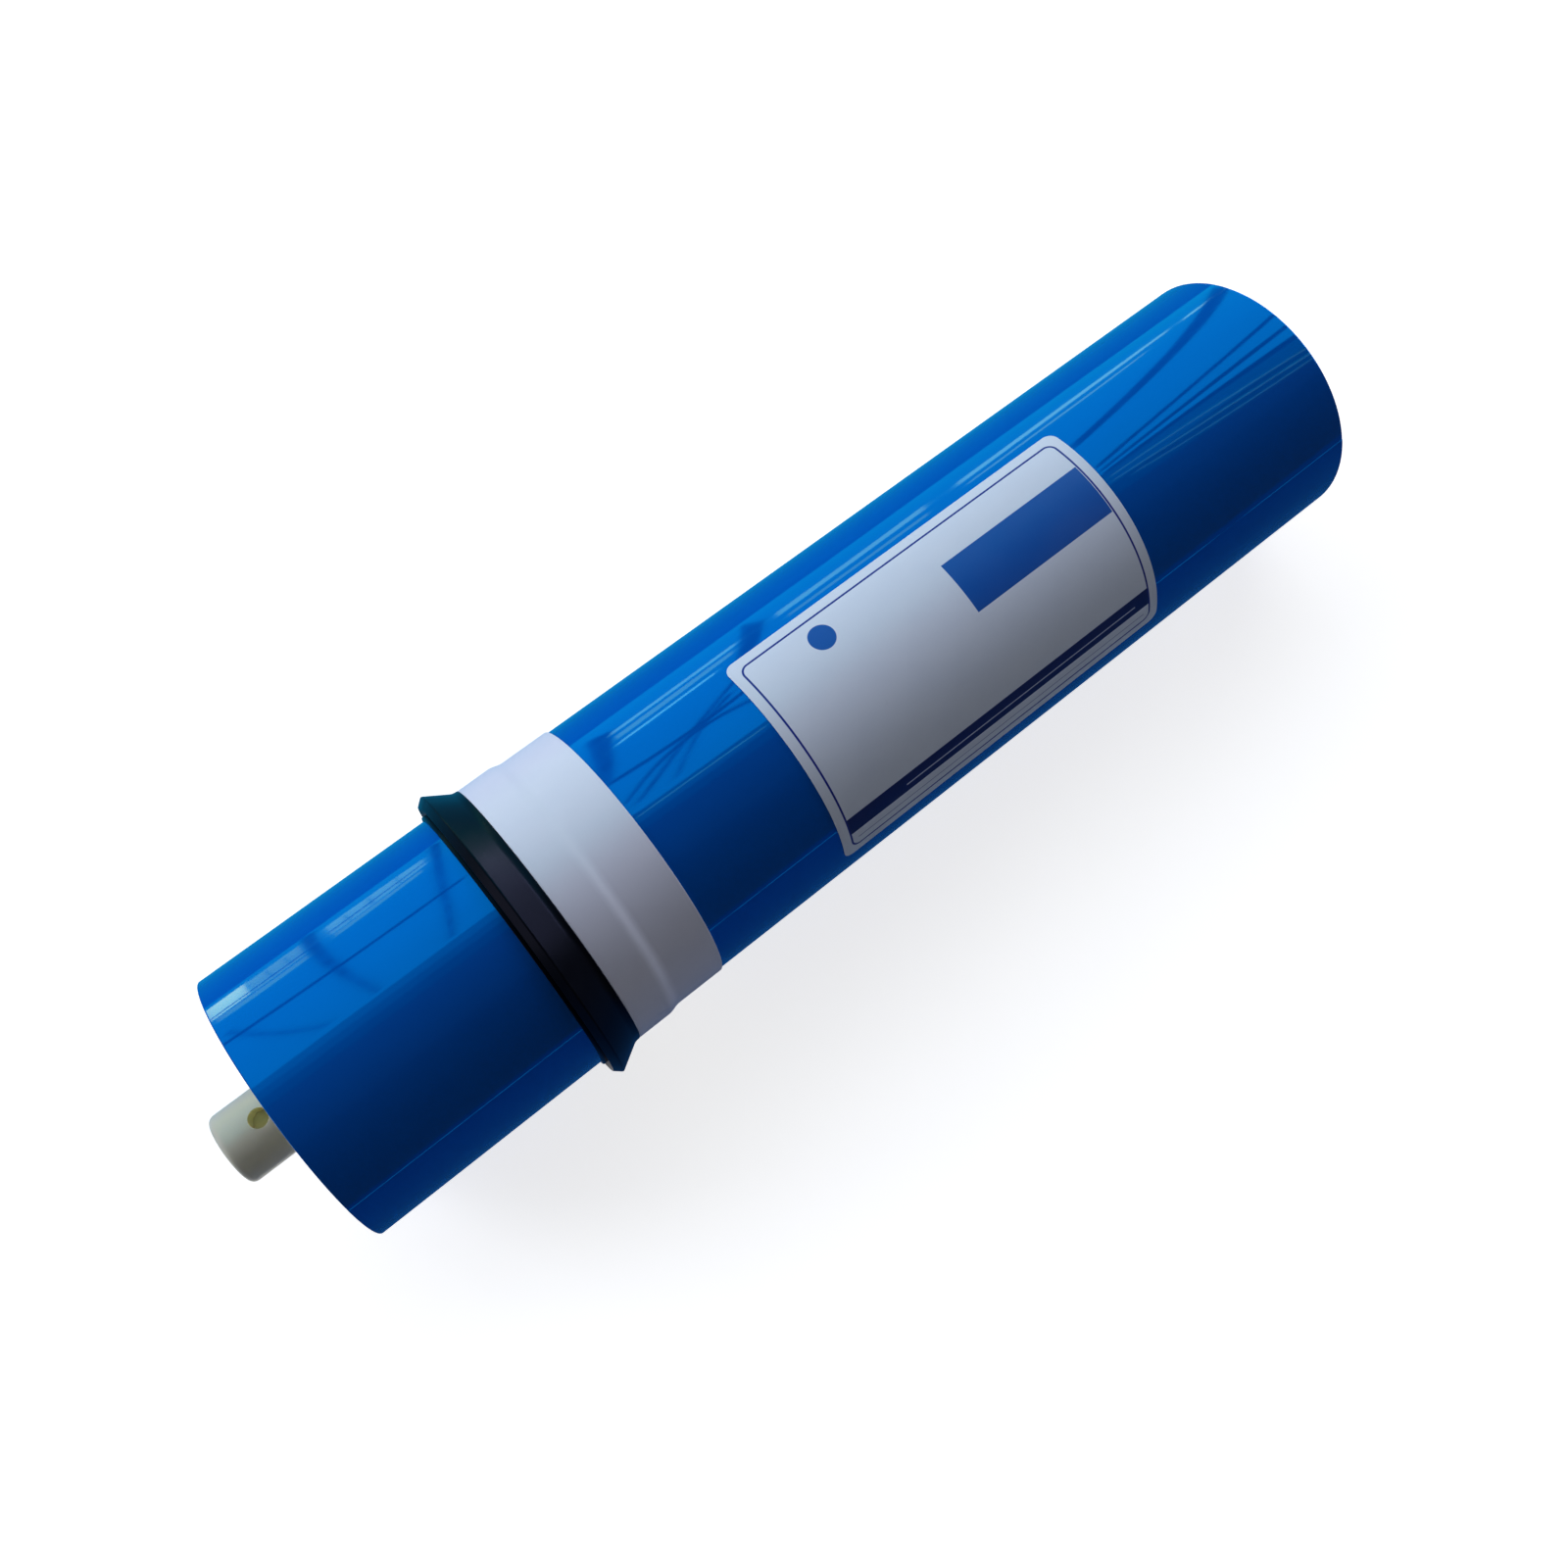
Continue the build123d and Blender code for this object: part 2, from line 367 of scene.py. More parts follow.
@dataclass
class Surface:
    """Points in mm, quads on them, and for each quad the number of its finish. Each point may carry a UV."""

    points: Array
    quads: Array
    finish: Array
    uv: Array | None = None

    @classmethod
    def from_grid(
        cls, grid: Array, around: bool = False, along: bool = False,
        finish: int | Array = 0, uv: Array | None = None,
    ) -> "Surface":
        """Covers a grid of points with quads.

        Args:
            grid: Points, rows by columns by 3.
            around: Whether the last column meets the first.
            along: Whether the last row meets the first.
            finish: The finish's number, one for all or one for each row of quads.
            uv: Rows by columns by 2, in mm.

        Returns:
            The surface.
        """
        rows, cols = grid.shape[:2]
        row = np.arange(rows if along else rows - 1)
        col = np.arange(cols if around else cols - 1)
        a, b = np.meshgrid(row, col, indexing="ij")
        a2, b2 = (a + 1) % rows, (b + 1) % cols
        quads = np.stack([a * cols + b, a2 * cols + b, a2 * cols + b2, a * cols + b2], -1).reshape(-1, 4)
        numbers = np.broadcast_to(np.reshape(finish, (-1, 1)), a.shape).reshape(-1).astype(int)
        return cls(grid.reshape(-1, 3), quads, numbers, None if uv is None else uv.reshape(-1, 2))

    @classmethod
    def turned(cls, profile: Array, closed: bool = False, columns: int = 192) -> "Surface":
        """Carries an outline round the axis, and its last point meets its first where it is closed."""
        return cls.from_grid(turned_grid(profile, even_turns(columns)), around=True, along=closed)

    @classmethod
    def joined(cls, parts: Sequence["Surface"]) -> "Surface":
        """Puts several surfaces in one, end to end.

        Args:
            parts: The surfaces.

        Returns:
            One surface with all their points and quads.
        """
        starts = np.cumsum([0] + [len(p.points) for p in parts[:-1]])
        quads = np.concatenate([p.quads + s for p, s in zip(parts, starts)])
        uv = np.concatenate([p.uv for p in parts]) if all(p.uv is not None for p in parts) else None
        return cls(np.concatenate([p.points for p in parts]), quads, np.concatenate([p.finish for p in parts]), uv)

    def make_piece(
        self, name: str, slot: Slot, finishes: Sequence[Material], nodes: Sequence[str], sharp_degrees: float = 40.0,
    ) -> Object:
        """Makes the mesh, closes its seams, turns its faces outwards and puts it in the frame.

        Args:
            name: The piece's name.
            slot: Not used.
            finishes: Materials in the order of the finish numbers.
            nodes: CAD nodes that it stands for.
            sharp_degrees: Edges that turn more than this are drawn sharp.

        Returns:
            The piece.
        """
        mesh = bpy.data.meshes.new(name)
        mesh.from_pydata((self.points * MM).tolist(), [], self.quads.tolist())
        mesh.polygons.foreach_set("material_index", self.finish.astype(np.int32))
        if self.uv is not None:
            layer = mesh.uv_layers.new(name="label_mm")
            layer.data.foreach_set("uv", self.uv[self.quads.reshape(-1)].astype(np.float32).reshape(-1))
        solid = bmesh.new()
        solid.from_mesh(mesh)
        bmesh.ops.remove_doubles(solid, verts=solid.verts, dist=0.0004 * MM)
        bmesh.ops.recalc_face_normals(solid, faces=solid.faces)
        solid.to_mesh(mesh)
        solid.free()
        mesh.shade_smooth()
        mesh.set_sharp_from_angle(angle=math.radians(sharp_degrees))
        for material in finishes:
            mesh.materials.append(material)
        piece = placed(name, mesh)
        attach(piece, "root")
        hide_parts(*nodes)
        log.info("%s: %d faces, stands for %s", name, len(mesh.polygons), ", ".join(nodes))
        return piece


def eased_profile(corners: Sequence[tuple[float, float, float]], steps: int = 6) -> Array:
    """Rounds the corners of a closed outline.

    Each corner gives way to a parabola that leaves one side and joins the next at the corner's cut length. A
    point stands HOLD beyond it on each side, so that the flat between two roundings is shaded flat.

    Args:
        corners: X, radius and cut length of each corner, in mm.
        steps: Points on each rounding, less one.

    Returns:
        The outline, points by 2.
    """
    data = np.array(corners, float)
    tip, cut = data[:, :2], data[:, 2:]
    back = np.roll(tip, 1, 0) - tip
    ahead = np.roll(tip, -1, 0) - tip
    back /= np.linalg.norm(back, axis=1, keepdims=True)
    ahead /= np.linalg.norm(ahead, axis=1, keepdims=True)
    first, last = tip + back * cut, tip + ahead * cut
    s = np.linspace(0.0, 1.0, steps + 1).reshape(1, -1, 1)
    curve = (1 - s) ** 2 * first[:, None] + 2 * s * (1 - s) * tip[:, None] + s**2 * last[:, None]
    held = np.concatenate([(first + back * HOLD)[:, None], curve, (last + ahead * HOLD)[:, None]], axis=1)
    return held.reshape(-1, 2)


def turned_grid(profile: Array, turns: Array, rise: Array | float = 0.0) -> Array:
    """Carries an outline of X and radius to turns in degrees, with a rise for each point and column."""
    radius = profile[:, 1:] + np.broadcast_to(rise, (len(profile), len(turns)))
    return round_axis(profile[:, :1], radius, np.radians(turns))


def even_turns(count: int) -> Array:
    """Evenly spaced angles of one turn in degrees."""
    return np.arange(count) * 360.0 / count


# ---- the shell


@dataclass
class FilmShell:
    """The blue film round the roll, with the edge of its last turn running along it."""

    radius: float = SHELL_RADIUS
    bore: float = 36.76
    half_length: float = SHELL_LENGTH / 2
    lap_turn: float = 60.5
    lap_step: float = 0.10
    rim: float = 0.3
    columns: int = 288

    def grid(self) -> Array:
        """The wall's outline carried round, sunk by the lap's step times the share of a turn that is past the lap."""
        end, rim = self.half_length, self.rim
        corners = [(-end, self.bore, 0.2), (-end, self.radius, rim), (end, self.radius, rim), (end, self.bore, 0.2)]
        outline = eased_profile(corners, 5)
        lap = np.array([-0.12, -0.04, 0.04, 0.12, 0.24]) + self.lap_turn
        turns = np.sort(np.concatenate([even_turns(self.columns), lap]))
        share = np.mod(turns - self.lap_turn, 360.0) / 360.0
        outer = outline[:, 1:] > (self.radius + self.bore) / 2
        return turned_grid(outline, turns, -self.lap_step * share[None] * outer)

    def build(self) -> Object:
        """Makes the shell."""
        wall = Surface.from_grid(self.grid(), around=True, along=True)
        return wall.make_piece("film_shell", Slot.SHELL, [WrappedFilm().build()], ["outer_wrap"], 50.0)


# ---- seal and collar


@dataclass
class SealSet:
    """The black lip seal and the stepped white ring that backs it."""

    seat: float = SEAT_RADIUS
    seal_start: float = 65.3
    seal_width: float = 11.0
    lip_height: float = 5.35
    lip_edge: float = 2.9
    lip_slope: float = 1.8
    lip_start: float = 0.8
    mouth_depth: float = 6.2
    foot: float = 0.9
    lip_root: float = 9.7
    heel: float = 1.25
    band_length: float = 10.1
    band_wall: float = 1.15
    step_length: float = 2.5
    skirt_length: float = 14.1
    skirt_wall: float = 0.4
    columns: int = 288

    def seal_outline(self) -> Array:
        """The lip seal's section: foot, open mouth, flared lip and heel, each with a moulded rounding."""
        x, r = place_x(self.seal_start), self.seat
        end, lip = x + self.seal_width, r + self.lip_height
        return eased_profile([
            (x, r, 0.15), (x, r + self.foot, 0.3), (x + self.mouth_depth, r + self.foot, 0.5),
            (x + self.lip_start, lip - self.lip_slope, 0.25), (x + self.lip_edge, lip, 0.35),
            (x + self.lip_root, r + self.heel, 0.9), (end, r + self.heel, 0.25), (end, r, 0.15),
        ])

    def collar_outline(self) -> Array:
        """The collar's section: band, sloped step and skirt, the step eased into both."""
        x, r = place_x(self.seal_start + self.seal_width), self.seat
        step = x + self.band_length
        skirt = step + self.step_length
        end, band, thin = skirt + self.skirt_length, r + self.band_wall, r + self.skirt_wall
        return eased_profile([
            (x, r, 0.1), (x, band, 0.25), (step, band, 0.9), (skirt, thin, 0.9), (end, thin, 0.15), (end, r, 0.1),
        ], 8)

    def build(self) -> list[Object]:
        """Makes the seal and the collar."""
        seal = Surface.turned(self.seal_outline(), True, self.columns)
        collar = Surface.turned(self.collar_outline(), True, self.columns)
        white = MouldedPlastic("moulded_white_abs", "#E6E7F2", "#DEE0ED", roughness=0.36)
        return [
            seal.make_piece("lip_seal", Slot.SEAL, [MouldedRubber().build()], ["brine_seal"]),
            collar.make_piece("stepped_collar", Slot.COLLAR, [white.build()], ["seal_collar"]),
        ]


# ---- the tube


@dataclass(frozen=True)
class RoundHole:
    """A round hole in a tube wall: its place along X, turn, radius, and half the length of the wall patch round it."""

    x: float
    turn: float
    radius: float
    reach: float


@dataclass
class DrilledWall:
    """A round wall of one radius with round holes, each in a patch whose rings go from the hole's edge to a square."""

    radius: float
    start: float
    end: float
    holes: tuple[RoundHole, ...]
    columns: int = 192
    patch: int = 24
    rings: int = 8
    ring_power: float = 1.4

    def rows(self) -> Array:
        """X of the grid's rows: the wall's ends, one just inside the first, and an even run across each patch."""
        runs = [np.linspace(h.x - h.reach, h.x + h.reach, self.patch + 1) for h in self.holes]
        return np.unique(np.round(np.concatenate([[self.start, self.start + HOLD], *runs, [self.end]]), 6))

    def wall(self) -> Surface:
        """The wall without the squares that the patches fill."""
        rows = self.rows()
        sheet = Surface.turned(np.stack([rows, np.full(len(rows), self.radius)], -1), columns=self.columns)
        row, col = np.divmod(np.arange(len(sheet.quads)), self.columns)
        open_quads = np.zeros(len(sheet.quads), bool)
        for hole in self.holes:
            middle = (rows[row] + rows[row + 1]) / 2
            aside = np.mod((col + 0.5) * 360 / self.columns - hole.turn + 180, 360) - 180
            open_quads |= (abs(middle - hole.x) < hole.reach) & (abs(aside) < self.patch * 180 / self.columns)
        return Surface(sheet.points, sheet.quads[~open_quads], sheet.finish[~open_quads])

    def square(self, hole: RoundHole) -> Array:
        """The patch's border as (X offset, sideways offset), in the order of its turn round the hole."""
        step = np.linspace(-1, 1, self.patch + 1)
        side = self.radius * np.sin(np.radians(step * self.patch * 180 / self.columns))
        along = step * hole.reach
        runs = ((hole.reach, side[:-1]), (along[:0:-1], side[-1]), (-hole.reach, side[:0:-1]), (along[:-1], -side[-1]))
        return np.concatenate([np.stack(np.broadcast_arrays(*run), -1) for run in runs])

    def edge(self, hole: RoundHole) -> Array:
        """The hole's edge as (X offset, sideways offset): the square's directions at the hole's radius."""
        square = self.square(hole)
        return square / np.linalg.norm(square, axis=1, keepdims=True) * hole.radius

    def stand(self, hole: RoundHole, flat: Array, height: float | None = None) -> Array:
        """Puts flat offsets round a hole in space.

        Args:
            hole: The hole.
            flat: (X offset, sideways offset), any shape by 2.
            height: The height of the flat floor they lie on in place of the wall.

        Returns:
            The points.
        """
        side = flat[..., 1]
        up = np.sqrt(self.radius**2 - side**2) if height is None else np.full(side.shape, height)
        turn = math.radians(hole.turn)
        y = -up * math.sin(turn) - side * math.cos(turn)
        z = up * math.cos(turn) - side * math.sin(turn)
        return np.stack([hole.x + flat[..., 0], y, z], -1)

    def patches(self) -> list[Surface]:
        """The rings round each hole, evenly blended from its edge to its square."""
        share = np.linspace(0, 1, self.rings + 1)[:, None, None] ** self.ring_power
        flats = [self.edge(hole) * (1 - share) + self.square(hole) * share for hole in self.holes]
        return [Surface.from_grid(self.stand(hole, flat), around=True) for hole, flat in zip(self.holes, flats)]


@dataclass
class PermeateTube:
    """The perforated tube: closed and drilled at the feed end, open at the outlet end."""

    radius: float = 9.525
    body_radius: float = 9.725
    bore: float = 6.5
    feed_tip: float = -179.9
    outlet: float = 179.9
    bore_start: float = -155.9
    rim_bevel: float = 2.0
    rim_power: float = 0.9
    outlet_chamfer: float = 0.8
    bore_bevel: float = 0.4
    drill_tip: float = 1.2
    hole: RoundHole = RoundHole(-168.9, 0.0, 2.5, 3.6)
    hole_floor: float = 4.525
    perforation_places: tuple[float, ...] = (42.0, 102.25, 162.5, 222.75, 283.0)
    perforation_radius: float = 1.5
    perforation_reach: float = 2.5

    def tip(self) -> Surface:
        """The closed end: a flat disc whose edge goes over in a quarter of a superellipse."""
        s = np.linspace(0, math.pi / 2, 17)
        x = self.feed_tip + self.rim_bevel * (1 - np.sin(s) ** self.rim_power)
        r = self.radius - self.rim_bevel * (1 - np.cos(s) ** self.rim_power)
        rim = np.stack([x, r], -1)[::-1]
        flat = np.stack([np.full(6, self.feed_tip), np.linspace(0, rim[0, 1], 6)], -1)
        return Surface.turned(np.concatenate([flat, rim[1:]]))

    def bore_end(self) -> Surface:
        """The bore's blind end, a shallow cone left by the drill."""
        return Surface.turned(np.array([(self.bore_start - self.drill_tip, 0.0), (self.bore_start, self.bore)]))

    def outlet_rim(self) -> Surface:
        """The open end: chamfer, flat face and a small inner bevel."""
        end, cut, bevel = self.outlet, self.outlet_chamfer, self.bore_bevel
        return Surface.turned(np.array([
            (end - cut, self.radius), (end - 0.1, self.radius - cut + 0.1), (end, self.radius - cut),
            (end, self.bore + bevel), (end - bevel, self.bore),
        ]))

    def shoulder(self, x: float) -> Surface:
        """The small face where a turned end meets the body."""
        return Surface.turned(np.array([(x, self.radius), (x, self.body_radius)]))

    def build(self) -> Object:
        """Makes the tube."""
        holes = tuple(
            RoundHole(place_x(place), 90.0 * number, self.perforation_radius, self.perforation_reach)
            for number, place in enumerate(self.perforation_places)
        )
        stub = DrilledWall(self.radius, self.feed_tip + self.rim_bevel, -ROLL_HALF, (self.hole,))
        body = DrilledWall(self.body_radius, -ROLL_HALF, ROLL_HALF, holes)
        bore = DrilledWall(self.bore, self.bore_start, self.outlet - self.bore_bevel, holes)
        land = DrilledWall(self.radius, ROLL_HALF, self.outlet - self.outlet_chamfer, ())
        parts = [self.tip(), self.bore_end(), self.outlet_rim()]
        parts += [self.shoulder(-ROLL_HALF), self.shoulder(ROLL_HALF), land.wall()]
        for wall in (stub, body, bore):
            parts += [wall.wall(), *wall.patches()]
        for hole in holes:
            rings = np.stack([body.stand(hole, body.edge(hole)), bore.stand(hole, bore.edge(hole))])
            parts.append(Surface.from_grid(rings, around=True))
        edge = stub.edge(self.hole)
        floor = stub.stand(self.hole, edge * np.array([1.0, 0.5, 0.0])[:, None, None], self.hole_floor)
        well = np.concatenate([stub.stand(self.hole, edge)[None], floor])
        parts.append(Surface.from_grid(well, around=True, finish=1))
        ivory = MouldedPlastic("moulded_ivory_abs", "#DAD9C8", "#D0CDB6", roughness=0.3, glow=0.25)
        # The drilled hole's wall and floor are painted lighter and yellower than the ivory. This painted glow stands
        # in for light shining through the plastic into the hole; only their rougher drilled skin is real.
        painted_glow_ivory = MouldedPlastic("drilled_ivory_painted_glow", "#F4F0C4", "#EEEAB8", roughness=0.6, grain_mm=0.4, glow=0.9)
        finishes = [ivory.build(), painted_glow_ivory.build()]
        return Surface.joined(parts).make_piece("drilled_tube", Slot.TUBE, finishes, ["permeate_tube"], 35.0)


# ---- the roll


@dataclass
class WoundRoll:
    """Membrane envelopes and spacer nets wound together in a smooth spiral, and the cloth under them.

    The face under leaf k lies on the core until its own lead, then climbs evenly over two and a half turns
    until it meets the film.
    """

    core: float = 10.525
    film: float = 36.7
    tube: float = 9.735
    leaves: int = 4
    lead_degrees: float = 90.0
    climb_degrees: float = 900.0
    leaf_share: float = 0.463
    half_length: float = ROLL_HALF
    cloth_depth: float = 0.25
    net_depth: float = 3.6
    net_inset: float = 0.1
    strand_pitch: float = 3.0
    strand_radius: float = 0.33
    strand_slant: float = 0.8

    def face_radius(self, leaf: float, degrees: Array) -> Array:
        """Radius of the face under a leaf at winding angles, which start at +Y and go towards +Z."""
        share = np.clip((degrees - leaf * self.lead_degrees) / self.climb_degrees, 0, 1)
        return self.core + share * (self.film - self.core)

    def span(self, leaf: int) -> tuple[float, float]:
        """Winding angles where a leaf and its net begin and end."""
        return (leaf - 1) * self.lead_degrees, leaf * self.lead_degrees + self.climb_degrees

    def sheet(
        self, leaf: int, section: Array, inner: float, outer: float, finish: int | Array = 0,
    ) -> Surface:
        """Carries a section along the spiral.

        Args:
            leaf: The leaf's number.
            section: X and share of the sheet's thickness, a closed outline.
            inner: Share of the height from the leaf's face to the next one where the sheet begins.
            outer: Share where it ends.
            finish: The finish's number for all rows or one for each.

        Returns:
            The closed sheet.
        """
        first, last = self.span(leaf)
        degrees = np.linspace(first + 0.5, last - 0.5, 420)
        low, high = self.face_radius(leaf, degrees), self.face_radius(leaf - 1, degrees)
        share = inner + section[:, 1:] * (outer - inner)
        radius = low + share * (high - low)
        angle = np.radians(degrees)
        grid = points_at(section[:, :1], radius * np.cos(angle), radius * np.sin(angle))
        wall = Surface.from_grid(grid, along=True, finish=finish)
        half = len(section) // 2
        rims = (grid[:, column] for column in (0, -1))
        caps = [Surface.from_grid(np.stack([rim[:half], rim[::-1][:half]], 1)) for rim in rims]
        return Surface.joined([wall, *caps])

    def leaf(self, leaf: int) -> Surface:
        """An envelope: at both ends two membrane edges stand proud of the glued cloth between them."""
        end, cloth = self.half_length, self.half_length - self.cloth_depth
        half = np.array([(-end, 0.0), (-end, 0.26), (-cloth, 0.28), (-cloth, 0.72), (-end, 0.74), (-end, 1.0)])
        section = np.concatenate([half, half[::-1] * (-1, 1)])
        finish = np.array([0, 0, 1, 0, 0, 0, 0, 0, 1, 0, 0, 0])
        return self.sheet(leaf, section, 0.0, self.leaf_share, finish)

    def net(self, leaf: int) -> Surface:
        """A spacer net: its sheet stands back from the ends, and two layers of slanting strands reach out from it.

        A strand is a tube whose axis goes out along X as it goes round by the same length, one layer each way.
        """
        back = self.half_length - self.net_depth
        section = np.array([(-back, 0.0), (-back, 1.0), (back, 1.0), (back, 0.0)])
        parts = [self.sheet(leaf, section, self.leaf_share + 0.02, 0.98)]
        first, last = self.span(leaf)
        dense = np.linspace(first + 60, last - 60, 4000)
        arc = np.cumsum(np.radians(dense[1] - dense[0]) * self.face_radius(leaf - 0.5, dense))
        reach = np.linspace(0, 1, 5)
        ring = np.linspace(0, 2 * math.pi, 7)[:-1]
        for end in (-1, 1):
            for layer, slant in ((0.3, 1), (0.7, -1)):
                start = np.interp(np.arange(1.0 + 2 * layer, arc[-1] - 1, self.strand_pitch), arc, dense)
                share = self.leaf_share + layer * (1 - self.leaf_share)
                depth = self.net_depth * (1 - reach)
                middle = self.face_radius(leaf - share, start)[:, None]
                degrees = start[:, None] + slant * np.degrees(self.strand_slant * depth / middle)
                low, high = self.face_radius(leaf, degrees), self.face_radius(leaf - 1, degrees)
                middle = low + share * (high - low)
                across, middle = self.strand_radius * np.array([[1, 1, 1, 1, 0.9]]).T, middle[..., None]
                radius = middle + across * np.sin(ring)
                angle = np.radians(degrees)[..., None] + across * np.cos(ring) / middle
                x = end * (self.half_length - self.net_inset - depth)[:, None]
                parts.append(self.tube_quads(points_at(x, radius * np.cos(angle), radius * np.sin(angle))))
        return Surface.joined(parts)

    def tube_quads(self, tubes: Array) -> Surface:
        """Covers many short tubes, each an array of rings, with walls and end caps.

        Args:
            tubes: Tubes by rings by points by 3.

        Returns:
            One surface of all the tubes.
        """
        count, rings, sides = tubes.shape[:3]
        one = Surface.from_grid(tubes[0], around=True).quads
        cap = np.array([[0, 1, 2, 3], [0, 3, 4, 5]])
        one = np.concatenate([one, cap, cap + (rings - 1) * sides])
        quads = (one[None] + (np.arange(count) * rings * sides)[:, None, None]).reshape(-1, 4)
        return Surface(tubes.reshape(-1, 3), quads, np.zeros(len(quads), int))

    def cloth(self) -> Surface:
        """The cloth on the tube, a round wall."""
        end = self.half_length
        corners = [(-end, self.tube, 0.05), (-end, self.core, 0.1), (end, self.core, 0.1), (end, self.tube, 0.05)]
        return Surface.turned(eased_profile(corners, 3), True)

    def build(self) -> list[Object]:
        """Makes the cloth, the leaves and the nets."""
        membrane = SheetPolymer("cast_polysulfone_membrane", "#E6E2D2", "#D8CFAE").build()
        glued = SheetPolymer("glued_polyester_tricot", "#D9C48C", "#B98F4A", grain_mm=0.4, roughness=0.45).build()
        cloth = SheetPolymer("knitted_polyester_tricot", "#E4E2D8", "#D2C79E", grain_mm=0.4).build()
        net = SheetPolymer("extruded_polypropylene_net", "#C9D2D2", "#B4BDB8", grain_mm=1.0, roughness=0.4).build()
        pieces = [self.cloth().make_piece("core_cloth", Slot.CARRIER, [cloth], ["core_carrier"])]
        for leaf in range(1, self.leaves + 1):
            leaf_node, net_node = f"membrane_leaf_{leaf}", f"feed_spacer_{leaf}"
            pieces += [
                self.leaf(leaf).make_piece(f"envelope_{leaf}", Slot.MEMBRANE, [membrane, glued], [leaf_node]),
                self.net(leaf).make_piece(f"net_{leaf}", Slot.SPACER, [net], [net_node]),
            ]
        return pieces


# ---- the label


@dataclass
class ShellLabel:
    """The printed label on the shell: a curved sheet with rounded corners."""

    start: float = 143.4
    length: float = 109.6
    height: float = 65.5
    middle_turn: float = 29.8
    corner: float = 2.8
    low: float = SEAT_RADIUS
    thickness: float = 0.15
    rows: int = 96
    columns: int = 120

    def printed(self) -> tuple[PrintMark, ...]:
        """The label's print: border, disc, fields and rules."""
        width, height, blue = self.length, self.height, "#0D55B0"
        return (
            PrintMark(2.95, 2.95, width - 2.95, height - 2.95, "#1A2A90", corner=2.4, line=0.55),
            PrintMark(20.6, 52.8, 27.8, 60.0, blue, corner=3.6),
            PrintMark(3.15, 8.4, width - 3.15, 13.9, "#15246A"),
            PrintMark(22.0, 10.5, width - 8.0, 10.9, "#C9CFE2"),
            PrintMark(5.0, 5.5, width - 5.0, 5.8, "#9AA2BE"),
            PrintMark(60.0, 37.9, width - 3.4, 52.9, blue),
        )

    def grid(self, radius: float) -> tuple[Array, Array]:
        """One face of the sheet and its UV in mm.

        Rows lie closer together at the corners, and each is drawn in by the corner's radius less the
        circle's half chord at that height.

        Args:
            radius: The face's radius.

        Returns:
            The grid of points and the grid of UV.
        """
        even = np.linspace(-1, 1, self.rows)
        up = self.height / 2 * np.sin(even * math.pi / 2)
        past = np.clip(abs(up) - (self.height / 2 - self.corner), 0, self.corner)
        inset = self.corner - np.sqrt(self.corner**2 - past**2)
        share = np.linspace(0, 1, self.columns)
        across = inset[:, None] + share * (self.length - 2 * inset)[:, None]
        up = up[:, None]
        points = round_axis(place_x(self.start) + across, radius, np.radians(self.middle_turn) - up / SHELL_RADIUS)
        return points, np.stack(np.broadcast_arrays(across, up + self.height / 2), -1)

    def rim(self, grid: Array) -> Array:
        """The points of a grid's border, once round."""
        return np.concatenate([grid[0, :-1], grid[:-1, -1], grid[-1, :0:-1], grid[:0:-1, 0]])

    def build(self) -> Object:
        """Makes the label."""
        top, uv = self.grid(self.low + self.thickness)
        under, _ = self.grid(self.low)
        wall = np.stack([self.rim(top), self.rim(under)])
        wall_uv = np.stack([self.rim(uv)] * 2)
        faces = [Surface.from_grid(top, uv=uv), Surface.from_grid(under, uv=uv)]
        sheet = Surface.joined([*faces, Surface.from_grid(wall, around=True, uv=wall_uv)])
        return sheet.make_piece("shell_label", Slot.LABEL, [PrintedFilm(self.printed()).build()], ["label"])


# ---- studio


@dataclass(frozen=True)
class Softbox:
    """A flat lamp that faces the middle of the element, given by its own middle, sizes and radiance in metres.

    It lights the surfaces, and the cards round the room are what the gloss shows of it.
    """

    middle: tuple[float, float, float]
    size: tuple[float, float]
    radiance: float
    colour: str = "#E6EEFF"

    def build(self, name: str) -> None:
        """Makes the lamp. Its power is its radiance times pi times its area."""
        lamp = bpy.data.lights.new(name, "AREA")
        lamp.shape = "RECTANGLE"
        lamp.size, lamp.size_y = self.size
        lamp.energy = self.radiance * math.pi * self.size[0] * self.size[1]
        lamp.color = linear(self.colour)[:3]
        box = placed(name, lamp)
        middle = Vector(self.middle)
        box.matrix_world = Matrix.Translation(middle) @ middle.to_track_quat("Z", "Y").to_matrix().to_4x4()
        box.visible_camera = box.visible_glossy = False


TURN_GAIN, TURN_SHIFT = 2.063, -16.7
SLOPE, SLOPE_PER_MM, SLOPE_PER_DEGREE = -0.1422, 0.002815, 0.00015


